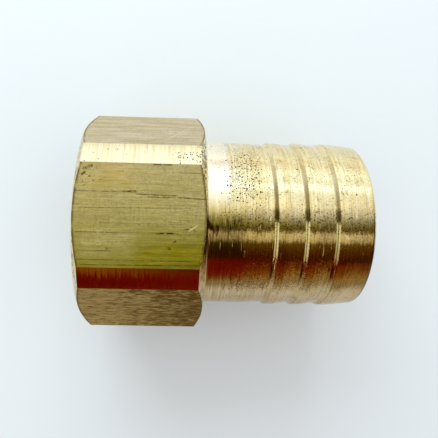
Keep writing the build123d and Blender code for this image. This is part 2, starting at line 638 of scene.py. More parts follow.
def bare_metal(finish, colour, roughness, anisotropy, normal, across, edge_tint=(1.0, 1.0, 1.0)):
    """Bare metal with its gloss drawn out across the tool marks."""
    inputs = {
        "Base Color": colour,
        "Metallic": 1.0,
        "Specular Tint": (*edge_tint, 1.0),
        "Roughness": roughness,
        "Anisotropic": anisotropy,
        "Normal": normal,
        "Tangent": across,
    }
    metal = finish.node("ShaderNodeBsdfPrincipled", inputs)
    finish.node("ShaderNodeOutputMaterial", {"Surface": metal.outputs[0]})
    print(finish.material.name, "has", len(finish.tree.nodes), "nodes")
    return finish.material


# %% [markdown]
# ## Turned brass
#
# A lathe tool leaves rings a few hundredths of a millimetre apart. They are too fine to model one by one,
# yet they give turned metal its look: light spreads along the axis, and stays sharp the way round. The
# colour comes first. Noise that is stretched far round the part makes some rings paler and some darker. The
# upper side of the neck's start is a painted highlight, nearly white, and past it the brass is browner and
# dulled in patches.

# %% The turned finish: brass, in paler and darker rings
BRASS = (0.90, 0.77, 0.40)
PALE_BRASS = (0.96, 0.87, 0.54)
DULL_BRASS = (0.66, 0.50, 0.18)
BARE_AND_HIGHLIGHT_BRASS = (0.97, 0.90, 0.66)
DARK_BRASS = (0.34, 0.24, 0.09)
TAN_BRASS = (0.87, 0.72, 0.34)
TARNISHED_BRASS = (0.42, 0.30, 0.10)

turned = Finish("turned_brass")
rings = grain(turned, 3.0, 0.03, detail=3.0)
patches = grain(turned, 0.35, 0.45, detail=4.0, shift=7.0)
speckle = grain(turned, 2.6, 2.2, shift=50.0)
on_head = turned.between(turned.along, SHOULDER + 0.1, SHOULDER - 0.2)
colour = turned.mix(turned.between(rings, 0.35, 0.65), DULL_BRASS, PALE_BRASS)
colour = turned.mix(turned.level(on_head, 0.35, 0.70), colour, BRASS)
dark_rings = turned.between(grain(turned, 4.5, 0.14, shift=130.0), 0.56, 0.70)
dark_rings = turned.times(dark_rings, turned.level(on_head, 0.75, 0.20))
colour = turned.mix(dark_rings, colour, DARK_BRASS)

past_neck_start = turned.between(turned.along, 0.6, 3.2)
# Painted highlight: the upper side of the neck's start is mixed towards near-white brass.
painted_neck_highlight = turned.times(turned.window(turned.along, SHOULDER, 0.6, 0.8), turned.between(turned.around, 1.0, 5.0))
colour = turned.mix(turned.times(painted_neck_highlight, 0.8), colour, BARE_AND_HIGHLIGHT_BRASS)
colour = turned.mix(turned.times(past_neck_start, 0.35), colour, TAN_BRASS)
dulled = turned.times(turned.between(patches, 0.50, 0.70), turned.between(speckle, 0.42, 0.60))
dulled = turned.times(dulled, turned.level(past_neck_start, 0.15, 0.60))
colour = turned.mix(dulled, colour, TARNISHED_BRASS)
print("the rings of the turned finish take", len(turned.tree.nodes), "nodes")

# %% [markdown]
# ## Smoke, soot and a red tint
#
# The neck is darkened where it meets the shoulder and below that, and the head's chamfers in mottled
# patches: this is painted shade. Two dark blots lie beside the shoulder. Further down the front the neck is
# tinted red, which is a painted reflection. Along the top it is specked with soot. Each could be painted on
# an image. Here each is a patch with soft ends, broken up by noise, and each colour is laid over the last:
# the painted shade first, and soot at the end.

# %% The turned finish: painted shade and a painted red reflection on the neck and the chamfers, and soot
RED_REFLECTION_BRASS = (0.90, 0.44, 0.15)
SOOT_AND_SHADE = (0.07, 0.03, 0.008)

# Painted shade: a dark patch on the front of the neck, beside the shoulder.
painted_neck_shade = turned.patch((-4.6, 3.0), (-7.8, -4.2), 1.5)
painted_neck_shade = turned.times(painted_neck_shade, turned.between(patches, 0.30, 0.55), 0.42)
colour = turned.mix(painted_neck_shade, colour, SOOT_AND_SHADE)

# Painted shade: the neck blackened where it meets the shoulder, broken into rings.
shade_rings = turned.between(grain(turned, 4.2, 0.45, shift=210.0), 0.50, 0.62)
painted_shoulder_shade = turned.patch((-4.6, 3.0), (-4.4, 0.4), 1.1)
painted_shoulder_shade = turned.times(painted_shoulder_shade, turned.level(shade_rings, 0.24, 0.84))
colour = turned.mix(painted_shoulder_shade, colour, SOOT_AND_SHADE)

large_blot = scratch(turned, (-3.9, -0.6), (-3.0, -1.9), 0.9)
small_blot = scratch(turned, (-1.85, -1.6), (-1.75, -2.3), 0.5)
colour = turned.mix(turned.times(turned.either(large_blot, small_blot), 0.85), colour, SOOT_AND_SHADE)

# Painted shade: the head's chamfers darkened in mottled patches.
on_chamfer = turned.times(on_head, turned.window(turned.out, 20.6, 22.35, 0.1))
mottled_chamfer_shade = turned.between(grain(turned, 1.1, 1.3, detail=4.0, shift=240.0), 0.44, 0.58)
colour = turned.mix(turned.times(on_chamfer, mottled_chamfer_shade, 0.60), colour, SOOT_AND_SHADE)

# Painted reflection: the lower front of the neck is tinted red.
painted_red_reflection = turned.patch((-5.0, 4.0), (-12.2, -7.6), 1.6)
colour = turned.mix(turned.times(painted_red_reflection, 0.40), colour, RED_REFLECTION_BRASS)

soot = turned.between(grain(turned, 3.0, 3.4, shift=160.0), 0.56, 0.63)
sootiest = turned.window(turned.around, -2.6, 1.6, 0.9)
past_shoulder = turned.between(turned.along, -2.5, 0.0)
colour = turned.mix(turned.times(soot, turned.level(sootiest, 0.36, 0.86), past_shoulder), colour, SOOT_AND_SHADE)
print("with its stains, the turned finish takes", len(turned.tree.nodes), "nodes")

# %% [markdown]
# ## Painted shade on the barbs
#
# The flank at the foot of each barb faces the head, and it is darkened there: painted shade, more in some
# places round the tail than in others. The barbs repeat, so the shade repeats with them: the remainder of the
# place along the axis, divided by the barbs' pitch, is the same beside every barb. One mask in it serves all
# three.

# %% The turned finish: painted shade that repeats with the barbs
BARB_PITCH = barb_pitch / MM
flank_shade_start = SHOULDER + first_crest / MM - 1.0
flank_shade_end = flank_shade_start + (barb_count - 1) * BARB_PITCH + 2.1
beside_barb = turned.window(turned.along, flank_shade_start, flank_shade_end, 0.1)
past_foot = turned.do("MODULO", turned.do("SUBTRACT", turned.along, flank_shade_start), BARB_PITCH)


def flank_shade(along, soft_along, around, soft_around, share):
    """Painted shade in one place beside every barb, given by its reach past the barb's foot and round the
    tail.
    """
    here = turned.window(past_foot, *along, soft_along)
    facing = turned.window(turned.around, *around, soft_around)
    return turned.times(beside_barb, here, facing, share)


# Painted shade on each barb's flank: at the side, low, across the middle, and high round the tail.
side_flank_shade = flank_shade((0.15, 1.05), 0.10, (-0.2, 2.0), 0.6, 0.66)
lower_flank_shade = flank_shade((0.12, 0.52), 0.14, (-12.4, -9.0), 1.0, 0.85)
middle_flank_shade = flank_shade((0.54, 0.70), 0.08, (-8.6, 0.0), 0.4, 0.80)
upper_flank_shade = flank_shade((0.20, 0.95), 0.12, (3.0, 14.5), 1.8, 0.42)
colour = turned.mix(turned.either(side_flank_shade, lower_flank_shade, middle_flank_shade), colour, SOOT_AND_SHADE)
colour = turned.mix(upper_flank_shade, colour, DARK_BRASS)

nose_rim = turned.times(
    turned.between(turned.along, NOSE - 0.75, NOSE - 0.4),
    turned.between(turned.around, -4.0, -6.0),
    turned.between(turned.out, 16.1, 16.5),
)
colour = turned.mix(turned.times(nose_rim, 0.85), colour, SOOT_AND_SHADE)
print("dirt lies from", round(flank_shade_start, 2), "to", round(flank_shade_end, 2), "mm along the axis")

# %% [markdown]
# ## Pits
#
# Brass bar is slightly porous, and the lathe opens the pores as small dark pits. They crowd together in a few
# places and are rare elsewhere. Modelled pits would need a very fine mesh. These are only coloured and
# dented in shading, in two sizes, and the chance that a cell holds one is greater where they crowd.

# %% The turned finish: pits, and one bright chip
PIT_FLOOR = (0.022, 0.012, 0.005)
PIT_DEPTH = 0.04 * MM

neck_crowd = turned.patch((0.8, 6.2), (3.4, 15.5), 1.8)
lower_crowd = turned.patch((0.8, 7.8), (-15.7, -13.3), 0.5)
shoulder_crowd = turned.patch((-6.2, -3.9), (2.0, 17.0), 0.4)
corner_crowd = turned.patch((-9.8, -6.6), (8.0, 9.6), 0.5)
crowding = turned.times(turned.either(neck_crowd, lower_crowd, shoulder_crowd, corner_crowd), 0.68)
strays = turned.level(turned.between(patches, 0.54, 0.72), 0.02, 0.32)
strays = turned.times(strays, turned.between(turned.around, -6.0, -2.0))

large_pits = pits(turned, 1.6, 0.19, turned.do("ADD", crowding, 0.004))
small_pits = pits(turned, 2.8, 0.125, turned.do("ADD", crowding, strays))
off_ends = turned.window(turned.along, HEAD_END + 0.6, NOSE - 0.6, 0.2)
pitted = turned.times(turned.either(large_pits, small_pits), off_ends)
colour = turned.mix(pitted, colour, PIT_FLOOR)
chip = scratch(turned, (21.4, -2.1), (22.5, -3.3), 0.34)
colour = turned.mix(chip, colour, BARE_AND_HIGHLIGHT_BRASS)
print("with its pits, the turned finish takes", len(turned.tree.nodes), "nodes")

# %% [markdown]
# ## How the turned brass catches the light
#
# Every ring leans its own way, so that reflections end in a ragged comb. Stray rings lean further, and the
# weathered front of the barbs is grainy. All of these lean the normal along the lay, and one more leans it
# across, which gives the rings their fine shine. A bump map could do it from one height, but it would blur
# marks as fine as these, and it would cost more.

# %% The turned finish: leaning rings, and the metal itself
normal, lay, across = lay_vectors(turned, along_axis=False)
ragged = grain(turned, 2.8, 0.10, detail=3.0, shift=90.0)
stray_rings = turned.between(grain(turned, 3.6, 0.22, shift=200.0), 0.62, 0.76)
grains = grain(turned, 3.6, 3.0, shift=11.0)
weathered = turned.times(
    past_neck_start,
    turned.between(turned.around, -5.0, -8.5),
    turned.between(turned.along, 21.5, 18.5),
)
leans = [
    (lay, turned.leaning(ragged, turned.level(on_head, 0.10, 0.32))),
    (lay, turned.times(stray_rings, 0.22)),
    (lay, turned.leaning(grains, turned.level(weathered, 0.06, 0.42))),
    (across, turned.leaning(rings, 0.08)),
]
for direction, amount in leans:
    normal = tilted(turned, normal, direction, amount)
normal = sunk(turned, turned.times(pitted, -1.0), PIT_DEPTH, normal)
roughness = turned.do("ADD", turned.level(pitted, 0.145, 0.545), turned.times(patches, 0.04))
turned_skin = bare_metal(turned, colour, roughness, 0.92, normal, across)

# %% [markdown]
# ## Drawn bar skin
#
# The six flats are never machined. They keep the skin that the bar got when it was drawn through a die: a
# duller, greener brass with fine straight lines along the axis. The same tools serve as for the turned
# finish, but now the marks run along the axis. The way round the part says which flat a place is on, and
# sets the brass that it starts from. The front flat's darker brass is painted shade.

# %% The drawn finish: skin, with fine lines along the bar
SKIN = (0.93, 0.83, 0.48)
FRONT_SKIN_PAINTED_SHADE = (0.66, 0.52, 0.20)
BACK_SKIN = (0.80, 0.71, 0.56)
OLIVE_SKIN = (0.56, 0.48, 0.19)
DARK_SKIN = (0.20, 0.12, 0.04)

drawn = Finish("drawn_brass")
on_top_flat = drawn.window(drawn.around, -11.0, 11.0, 0.2)
on_front_flat = drawn.window(drawn.around, -28.0, -9.0, 0.3)
on_back_flat = drawn.window(drawn.around, 9.0, 28.0, 0.3)
fine_lines = grain(drawn, 0.12, 3.2, detail=4.0)
broad_lines = grain(drawn, 0.05, 0.9, detail=3.0, shift=20.0)
specks = grain(drawn, 2.2, 4.6, shift=80.0)
ticks = grain(drawn, 3.4, 0.5, shift=71.0)
colour = drawn.mix(on_back_flat, SKIN, BACK_SKIN)
# Painted shade: the whole front flat starts from a darker brass.
colour = drawn.mix(on_front_flat, colour, FRONT_SKIN_PAINTED_SHADE)
colour = drawn.mix(drawn.times(drawn.between(fine_lines, 0.62, 0.38), 0.44), colour, DARK_SKIN)
colour = drawn.mix(drawn.times(drawn.between(specks, 0.44, 0.70), 0.28), colour, DARK_SKIN)
colour = drawn.mix(drawn.times(drawn.between(ticks, 0.50, 0.74), 0.26), colour, DARK_SKIN)
colour = drawn.mix(drawn.times(drawn.between(broad_lines, 0.40, 0.62), 0.30), colour, OLIVE_SKIN)
print("the lines of the drawn finish take", len(drawn.tree.nodes), "nodes")

# %% [markdown]
# ## Tarnish on the flats
#
# Old brass goes green where damp has stood, tan where it has dried, and brown where hands and grime have
# been. On the top flat the green deepens towards the front. The flat in front of it has a blotched brown
# stain that creeps in from the shoulder. Beside the chamfers the ends of the flats are darkened: a painted
# reflection, standing in for the dark room mirrored along the edges. Clouds of noise break up each of these,
# so that none has a plain outline. An image would tie them to one size of flat, and these move with the
# sizes.

# %% The drawn finish: green and tan on the top flat
GREEN_SKIN = (0.42, 0.375, 0.028)
TAN_SKIN = (0.82, 0.63, 0.30)

clouds = grain(drawn, 0.22, 0.35, detail=4.0, shift=3.0)
creeping = drawn.between(drawn.along, -26.0, -5.0)
green = drawn.times(drawn.between(drawn.sideways, 1.8, -8.4), on_top_flat, drawn.level(creeping, 0.78, 1.12))
pale_cloud = drawn.patch((-27.0, -17.0), (-6.4, -2.2), 1.6)
green = drawn.do("SUBTRACT", green, drawn.times(pale_cloud, 0.42), clamp=True)
green = drawn.do("ADD", green, drawn.leaning(clouds, 0.8), clamp=True)
dried = drawn.times(drawn.patch((-26.0, -17.0), (4.0, 7.3), 2.0), drawn.between(clouds, 0.35, 0.60), 0.8)
colour = drawn.mix(dried, colour, TAN_SKIN)
colour = drawn.mix(drawn.times(green, on_top_flat), colour, GREEN_SKIN)
print("with its tarnish, the drawn finish takes", len(drawn.tree.nodes), "nodes")

# %% The drawn finish: brown stain, and painted dark reflection beside the chamfers
STAIN = (0.135, 0.062, 0.006)
SCORE = (0.10, 0.065, 0.025)

blotches = grain(drawn, 0.60, 2.5, detail=5.0, shift=60.0)
stain = drawn.do("ADD", drawn.leaning(blotches, 7.0), drawn.do("ADD", creeping, 0.05))
stain = drawn.times(drawn.between(stain, 0.05, 1.25), on_front_flat, 0.97)
colour = drawn.mix(stain, colour, STAIN)

# Painted reflection: a dark band along the ends of the flats, beside the chamfers, broken up by noise.
from_end = drawn.do("SUBTRACT", drawn.along, HEAD_END)
from_shoulder = drawn.do("SUBTRACT", SHOULDER, drawn.along)
cone_height = drawn.times(drawn.do("MINIMUM", from_end, from_shoulder), 1 / chamfer_slope)
cone_radius = drawn.do("ADD", cone_height, end_face_radius / MM)
painted_edge_reflection = drawn.between(drawn.do("SUBTRACT", cone_radius, drawn.out), 0.95, 0.15)
painted_edge_reflection = drawn.times(painted_edge_reflection, drawn.between(grain(drawn, 0.9, 0.9, shift=31.0), 0.25, 0.55), 0.9)
colour = drawn.mix(painted_edge_reflection, colour, DARK_SKIN)

corner_spots = drawn.between(grain(drawn, 1.5, 2.4, shift=17.0), 0.62, 0.70)
corner_spots = drawn.times(corner_spots, drawn.patch((-27.6, -24.0), (4.6, 11.0), 0.5))
colour = drawn.mix(corner_spots, colour, SCORE)
print("with its stains, the drawn finish takes", len(drawn.tree.nodes), "nodes")

# %% [markdown]
# ## Scores and knocks
#
# The die leaves a few long dark scores, and handling leaves knocks that shine where they are fresh. Noise
# can't place them well, because the eye knows each one. So they are listed one by one, each with the two
# places that it runs between, its width, and how strongly it shows. Noise only breaks the scores up.

# %% The drawn finish: the marks, one by one, in mm along the axis and round it
BARE = (0.95, 0.88, 0.68)
SCORES = [
    ((-27.6, 3.39), (-16.6, 3.39), 0.15, 0.65),
    ((-19.4, 3.43), (-16.9, 3.50), 0.20, 0.95),
    ((-16.6, 3.10), (-9.7, 2.95), 0.17, 0.85),
    ((-14.6, 2.70), (-9.8, 2.71), 0.17, 0.80),
    ((-9.3, 2.72), (-4.5, 2.53), 0.15, 0.85),
    ((-26.6, 0.98), (-17.5, 1.02), 0.13, 0.60),
    ((-17.5, 1.05), (-4.5, 1.13), 0.12, 0.45),
    ((-27.1, -2.64), (-20.2, -2.63), 0.14, 0.75),
    ((-20.2, -2.63), (-9.2, -2.60), 0.12, 0.55),
    ((-13.0, -2.65), (-10.0, -2.60), 0.24, 1.00),
    ((-9.4, 6.20), (-5.3, 6.18), 0.14, 0.60),
    ((-22.9, -1.23), (-7.1, -1.30), 0.11, 0.40),
    ((-26.8, -5.19), (-20.9, -5.23), 0.12, 0.50),
    ((-26.9, -6.36), (-6.9, -6.44), 0.13, 0.55),
    ((-26.0, -7.03), (-5.2, -6.92), 0.13, 0.65),
    ((-10.75, -4.72), (-10.57, -4.79), 0.34, 1.00),
    ((-9.80, -3.81), (-9.55, -3.73), 0.26, 0.85),
    ((-16.2, -1.37), (-16.0, -1.40), 0.26, 0.80),
    ((-21.65, -4.83), (-21.47, -4.97), 0.24, 0.80),
    ((-26.6, 4.04), (-25.6, 4.28), 0.16, 0.70),
    ((-23.2, 5.02), (-22.1, 5.39), 0.16, 0.60),
    ((-26.1, 6.51), (-24.7, 6.86), 0.40, 0.95),
    ((-26.4, 5.71), (-25.9, 5.99), 0.34, 0.90),
    ((-13.7, 7.20), (-10.5, 7.20), 0.20, 0.75),
    ((-8.1, -2.0), (-7.3, -1.9), 0.20, 0.80),
    ((-6.9, -1.5), (-6.0, -2.3), 0.14, 0.60),
    ((-20.6, -24.9), (-17.4, -24.8), 0.60, 1.00),
]
KNOCKS = [
    ((-7.22, -2.26), (-5.83, -1.42), 0.20, 0.85),
    ((-7.05, -2.00), (-6.35, -1.70), 0.16, 0.75),
    ((-15.1, 11.3), (-11.9, 12.6), 0.14, 0.50),
    ((-11.9, 12.6), (-6.6, 20.4), 0.17, 0.62),
    ((-9.6, 14.6), (-7.4, 18.0), 0.12, 0.45),
    ((-22.0, 15.2), (-19.4, 14.0), 0.12, 0.20),
]


def marks_of(finish, marks):
    """All the straight marks in a list, each as strong as it says."""
    return finish.either(
        *[finish.times(scratch(finish, start, end, width), strength) for start, end, width, strength in marks]
    )


broken = drawn.between(grain(drawn, 1.1, 3.0, shift=44.0), 0.38, 0.56)
scores = drawn.times(marks_of(drawn, SCORES), drawn.level(broken, 0.35, 1.0))
colour = drawn.mix(scores, colour, SCORE)
colour = drawn.mix(marks_of(drawn, KNOCKS), colour, BARE)
print(len(SCORES), "scores and", len(KNOCKS), "knocks")

# %% [markdown]
# ## How the drawn skin catches the light
#
# The drawn lines lean the normal across them, and the blotches of the stain lean it a little more. The skin
# is rougher than turned metal, so it mirrors the room as broad soft fields. Seen at a slant, bare metal turns
# white, which would be too cold for old skin, so its slanting colour is set warmer.

# %% The drawn finish: leaning lines, and the metal itself
LINE_DEPTH = 0.02 * MM
EDGE_TINT = (0.91, 0.82, 0.55)

normal, _, across = lay_vectors(drawn, along_axis=True)
for pattern, amount in ((fine_lines, 0.35), (blotches, 0.15)):
    normal = tilted(drawn, normal, across, drawn.leaning(pattern, amount))
normal = sunk(drawn, fine_lines, LINE_DEPTH, normal)
drawn_skin = bare_metal(drawn, colour, 0.26, 0.7, normal, across, edge_tint=EDGE_TINT)

# %% [markdown]
# ## The bored inside
#
# The port and the waterway are cut with a drill and a tap, and nobody polishes them. They get the turned
# finish again in a plainer form: coarser rings, a duller brass, and no pits.

# %% The bored finish
bored = Finish("bored_brass")
bored_rings = grain(bored, 4.0, 0.05)
colour = bored.mix(bored.between(bored_rings, 0.35, 0.65), DULL_BRASS, BRASS)
normal, _, across = lay_vectors(bored, along_axis=False)
normal = tilted(bored, normal, across, bored.leaning(bored_rings, 0.2))
bored_skin = bare_metal(bored, colour, 0.30, 0.8, normal, across)

# %% [markdown]
# ## Turning the piece
#
# Now the profile goes in as a loop of edges, the tree's named inputs get the sizes, and the evaluated result
# is kept as a plain mesh.

# %% Make the piece
profile_mesh = bpy.data.meshes.new("turning_profile")
loop_edges = [(index, (index + 1) % len(profile)) for index in range(len(profile))]
profile_mesh.from_pydata([(point.x, point.y, 0.0) for point in profile], loop_edges, [])
body = bpy.data.objects.new("brass_hose_tail", profile_mesh)
bpy.context.scene.collection.objects.link(body)
turning = body.modifiers.new("turning", "NODES")
turning.node_group = tree
settings = {
    **tree_sizes,
    "Flat Columns": FLAT_COLUMNS,
    "Corner Columns": CORNER_COLUMNS,
    "Drawn Skin": drawn_skin,
    "Turned Skin": turned_skin,
    "Bored Skin": bored_skin,
}
sockets = {item.name: item.identifier for item in tree.interface.items_tree if item.in_out == "INPUT"}
for name, value in settings.items():
    turning[sockets[name]] = value

bpy.context.view_layer.update()
depsgraph = bpy.context.evaluated_depsgraph_get()
turned_mesh = bpy.data.meshes.new_from_object(body.evaluated_get(depsgraph))
body.modifiers.remove(turning)
body.data = turned_mesh
turned_mesh.name = "brass_hose_tail"
bpy.data.meshes.remove(profile_mesh)

# %% Look at what came out: closed, and facing outwards


def closed_volume(mesh):
    """The volume inside a mesh, negative where its faces point inwards, and how many edges are open."""
    work = bmesh.new()
    work.from_mesh(mesh)
    open_edges = sum(1 for edge in work.edges if len(edge.link_faces) != 2)
    volume = work.calc_volume(signed=True)
    work.free()
    return volume, open_edges


volume, open_edges = closed_volume(turned_mesh)
if volume < 0:
    turned_mesh.flip_normals()
    volume, open_edges = closed_volume(turned_mesh)
triangles = sum(len(polygon.vertices) - 2 for polygon in turned_mesh.polygons)
print("volume, mm3:", round(volume / MM**3), "open edges:", open_edges, "triangles:", triangles)

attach(body, "root")
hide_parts("hose_tail")

# %% [markdown]
# ## A pale floor
#
# The part lies on plain pale paper. A sheet could sweep up into a backdrop, but from above only the flat
# part would show. One square, wide enough to reach past every view, is plainer.

# %% Floor
FLOOR_HALF = 5.0
floor_mesh = bpy.data.meshes.new("floor")
floor_corners = [(-1, -1), (1, -1), (1, 1), (-1, 1)]
floor_points = [(x * FLOOR_HALF, y * FLOOR_HALF, 0.0) for x, y in floor_corners]
floor_mesh.from_pydata(floor_points, [], [(0, 1, 2, 3)])
floor = bpy.data.objects.new("floor", floor_mesh)
bpy.context.scene.collection.objects.link(floor)
print("the floor is", 2 * FLOOR_HALF, "m wide")

# %% [markdown]
# ## What the paper shows to the camera and to the metal
#
# The camera sees even pale paper, with the part's own shadow on it, that fades to white far away. The metal
# mirrors the same paper as it would lie in a real room: lighter towards the wall at the back, in the shade
# of the front of the bench, and browner beyond it. One material can give both, because Light Path says which
# kind of ray has met it. Two floors would do it too, but only one of them could take the shadow.

# %% Paper
PAPER = (0.83, 0.845, 0.85)
BACK_PAPER = (0.90, 0.885, 0.95)
SHADED_PAPER = (0.60, 0.54, 0.56)
BENCH_FRONT = (0.29, 0.21, 0.12)
WALL_FOOT = (1.0, 0.98, 1.0, 1.0)
WHITE = (1.0, 1.0, 1.0, 1.0)

paper = Finish("pale_floor")
rays = paper.node("ShaderNodeLightPath").outputs
to_back = paper.sideways
mirrored = paper.mix(paper.between(to_back, 12.0, 60.0), PAPER, BACK_PAPER)
mirrored = paper.mix(paper.between(to_back, -12.0, -40.0), mirrored, SHADED_PAPER)
mirrored = paper.mix(paper.between(to_back, -50.0, -210.0), mirrored, BENCH_FRONT)
paper_colour = paper.mix(rays["Is Glossy Ray"], PAPER, mirrored)
plain = paper.node("ShaderNodeBsdfDiffuse", {"Color": paper_colour}).outputs[0]

wall_foot = paper.node("ShaderNodeEmission", {"Color": WALL_FOOT, "Strength": 1.08}).outputs[0]
at_wall = paper.times(paper.between(to_back, 120.0, 480.0), rays["Is Glossy Ray"])
with_wall = paper.node("ShaderNodeMixShader", {0: at_wall, 1: plain, 2: wall_foot}).outputs[0]

white = paper.node("ShaderNodeEmission", {"Color": WHITE, "Strength": 1.0}).outputs[0]
away = paper.do("DIVIDE", paper.vector("LENGTH", paper.place, output="Value"), MM)
faded = paper.times(paper.between(away, 350.0, 1100.0), rays["Is Camera Ray"])
with_white = paper.node("ShaderNodeMixShader", {0: faded, 1: with_wall, 2: white}).outputs[0]
paper.node("ShaderNodeOutputMaterial", {"Surface": with_white})
floor_mesh.materials.append(paper.material)
print(paper.material.name, "has", len(paper.tree.nodes), "nodes")

# %% [markdown]
# ## The lamp
#
# One square lamp as wide as an arm is long stands up and towards the back, and turns to face the part. Its
# size is what makes the shadow soft. It is hidden from the mirroring metal, which sees a window instead.

# %% Lamp
LAMP_SIDE = 0.50
LAMP_POWER = 2.5
LAMP_TINT = (0.82, 1.0, 1.06)
LAMP_PLACE = (-0.12, 0.46, 0.24)

lamp = bpy.data.lights.new("softbox", "AREA")
lamp.shape = "SQUARE"
lamp.size = LAMP_SIDE
lamp.energy = LAMP_POWER
lamp.color = LAMP_TINT
softbox = bpy.data.objects.new("softbox", lamp)
bpy.context.scene.collection.objects.link(softbox)
softbox.location = LAMP_PLACE
aim = Vector((0.0, 0.0, axis_height)) - softbox.location
softbox.rotation_euler = aim.to_track_quat("-Z", "Y").to_euler()
softbox.visible_glossy = False
print("the lamp is", round(aim.length, 2), "m from the part")

# %% [markdown]
# ## The room that the metal mirrors
#
# Bare metal has no colour of its own to show: it shows the room. So the room matters more than the lamp.
# Behind the bench are a bright wall and a window. In front is a darker, warm brown side, with a gap of
# light in it. A room of planes and lamps could be built, but its edges would be slow to render and hard to
# set. So the room is drawn as colours by direction. Each band is a list of stops: degrees from straight up,
# positive towards the back wall and negative towards the front, and the colour there. A ray's lean towards
# the nose or the head says which band it meets, from -1 straight past the head to 1 straight past the nose.

# %% A direction, as two leans, and a band of colours along one of them
world = bpy.data.worlds.new("studio")
bpy.context.scene.world = world
world.use_nodes = True
world.cycles.sampling_method = "NONE"
sky = world.node_tree
sky.nodes.clear()
towards = add(sky, "ShaderNodeSeparateXYZ", {0: add(sky, "ShaderNodeTexCoord").outputs["Generated"]}).outputs
lean_back = calc(sky, "ARCTAN2", towards["Y"], towards["Z"])
turn_share = calc(sky, "ADD", calc(sky, "DIVIDE", lean_back, 2 * math.pi), 0.5)


def room_band(stops):
    """The room's colours along one arc, from the front (negative degrees) over the top to the back wall."""
    ramp = add(sky, "ShaderNodeValToRGB", {"Fac": turn_share})
    marks = ramp.color_ramp.elements
    marks.remove(marks[1])
    for number, (degrees, colour) in enumerate(stops):
        position = degrees / 360 + 0.5
        mark = marks[0] if number == 0 else marks.new(position)
        mark.position = position
        mark.color = (*colour, 1.0)
    return ramp.outputs["Color"]


# %% The room over the head: first towards its far end, then above its middle and the shoulder
over_far_head = [
    # the brown side in front, from the bench up
    (-90, (0.24, 0.13, 0.04)),
    (-82, (0.13, 0.006, 0.001)),
    (-70, (0.10, 0.000, 0.000)),
    (-63, (0.115, 0.003, 0.000)),
    (-58, (0.22, 0.065, 0.004)),
    (-50, (0.24, 0.085, 0.006)),
    (-40, (0.14, 0.06, 0.004)),
    (-29, (0.14, 0.10, 0.010)),
    # the gap of light
    (-25, (0.47, 0.42, 0.10)),
    (-15, (0.52, 0.48, 0.14)),
    # the edge of the ceiling, then brighter towards the back
    (-12, (0.26, 0.24, 0.06)),
    (-5, (0.34, 0.33, 0.10)),
    (3, (0.56, 0.54, 0.28)),
    (10, (0.72, 0.68, 0.40)),
    (18, (0.92, 0.90, 0.72)),
    # the window
    (42, (1.15, 1.25, 1.45)),
    (60, (1.25, 1.42, 1.90)),
    (74, (1.18, 1.34, 1.70)),
    # the foot of the wall
    (90, (0.93, 0.92, 1.02)),
]
over_head = [
    # the brown side in front, from the bench up
    (-90, (0.18, 0.08, 0.02)),
    (-82, (0.12, 0.004, 0.001)),
    (-70, (0.112, 0.000, 0.000)),
    (-60, (0.115, 0.000, 0.000)),
    (-55, (0.07, 0.000, 0.000)),
    (-50, (0.006, 0.000, 0.000)),
    (-38, (0.004, 0.001, 0.000)),
    (-33, (0.02, 0.009, 0.001)),
    (-29, (0.06, 0.03, 0.003)),
    # the gap of light
    (-25, (0.50, 0.40, 0.24)),
    (-17, (0.52, 0.41, 0.27)),
    # the edge of the ceiling, then brighter towards the back
    (-13, (0.06, 0.04, 0.004)),
    (-9, (0.09, 0.07, 0.006)),
    (-5, (0.28, 0.27, 0.04)),
    (3, (0.54, 0.52, 0.22)),
    (10, (0.76, 0.72, 0.43)),
    (18, (0.96, 0.94, 0.78)),
    (28, (1.10, 1.14, 1.22)),
    (42, (1.20, 1.32, 1.55)),
    # the window
    (50, (1.32, 1.50, 2.0)),
    (60, (1.30, 1.50, 2.05)),
    (74, (1.20, 1.36, 1.75)),
    # the foot of the wall
    (82, (1.04, 1.08, 1.24)),
    (90, (0.93, 0.92, 1.02)),
]
print("stops over the head:", len(over_far_head) + len(over_head))

# %% The room over the tail: above the neck, then towards the nose
over_neck = [
    # the brown side in front, from the bench up
    (-95, (0.28, 0.17, 0.06)),
    (-84, (0.20, 0.075, 0.006)),
    (-78, (0.145, 0.016, 0.001)),
    (-69, (0.13, 0.008, 0.001)),
    (-60, (0.09, 0.000, 0.000)),
    (-48, (0.035, 0.000, 0.000)),
    (-41, (0.05, 0.008, 0.001)),
    (-33, (0.09, 0.042, 0.002)),
    (-27.5, (0.13, 0.09, 0.008)),
    # the gap of light
    (-25, (0.46, 0.39, 0.17)),
    (-16, (0.53, 0.46, 0.20)),
    # the edge of the ceiling, then brighter towards the back
    (-13.5, (0.12, 0.08, 0.012)),
    (-8.8, (0.085, 0.058, 0.003)),
    (-4.8, (0.15, 0.13, 0.02)),
    (0, (0.26, 0.24, 0.10)),
    (7.3, (0.43, 0.40, 0.32)),
    (11.3, (0.62, 0.59, 0.50)),
    (15.4, (0.86, 0.84, 0.70)),
    (20, (1.14, 1.17, 1.15)),
    (32, (1.22, 1.28, 1.35)),
    (41, (1.08, 1.14, 1.15)),
    # the window
    (45, (1.65, 1.92, 2.60)),
    (50.5, (1.65, 1.92, 2.60)),
    # the wall, down to its foot
    (55.5, (1.12, 1.20, 1.36)),
    (66, (1.36, 1.58, 1.85)),
    (74, (1.34, 1.48, 1.72)),
    (82, (1.33, 1.42, 1.65)),
    (90, (1.12, 1.12, 1.24)),
]
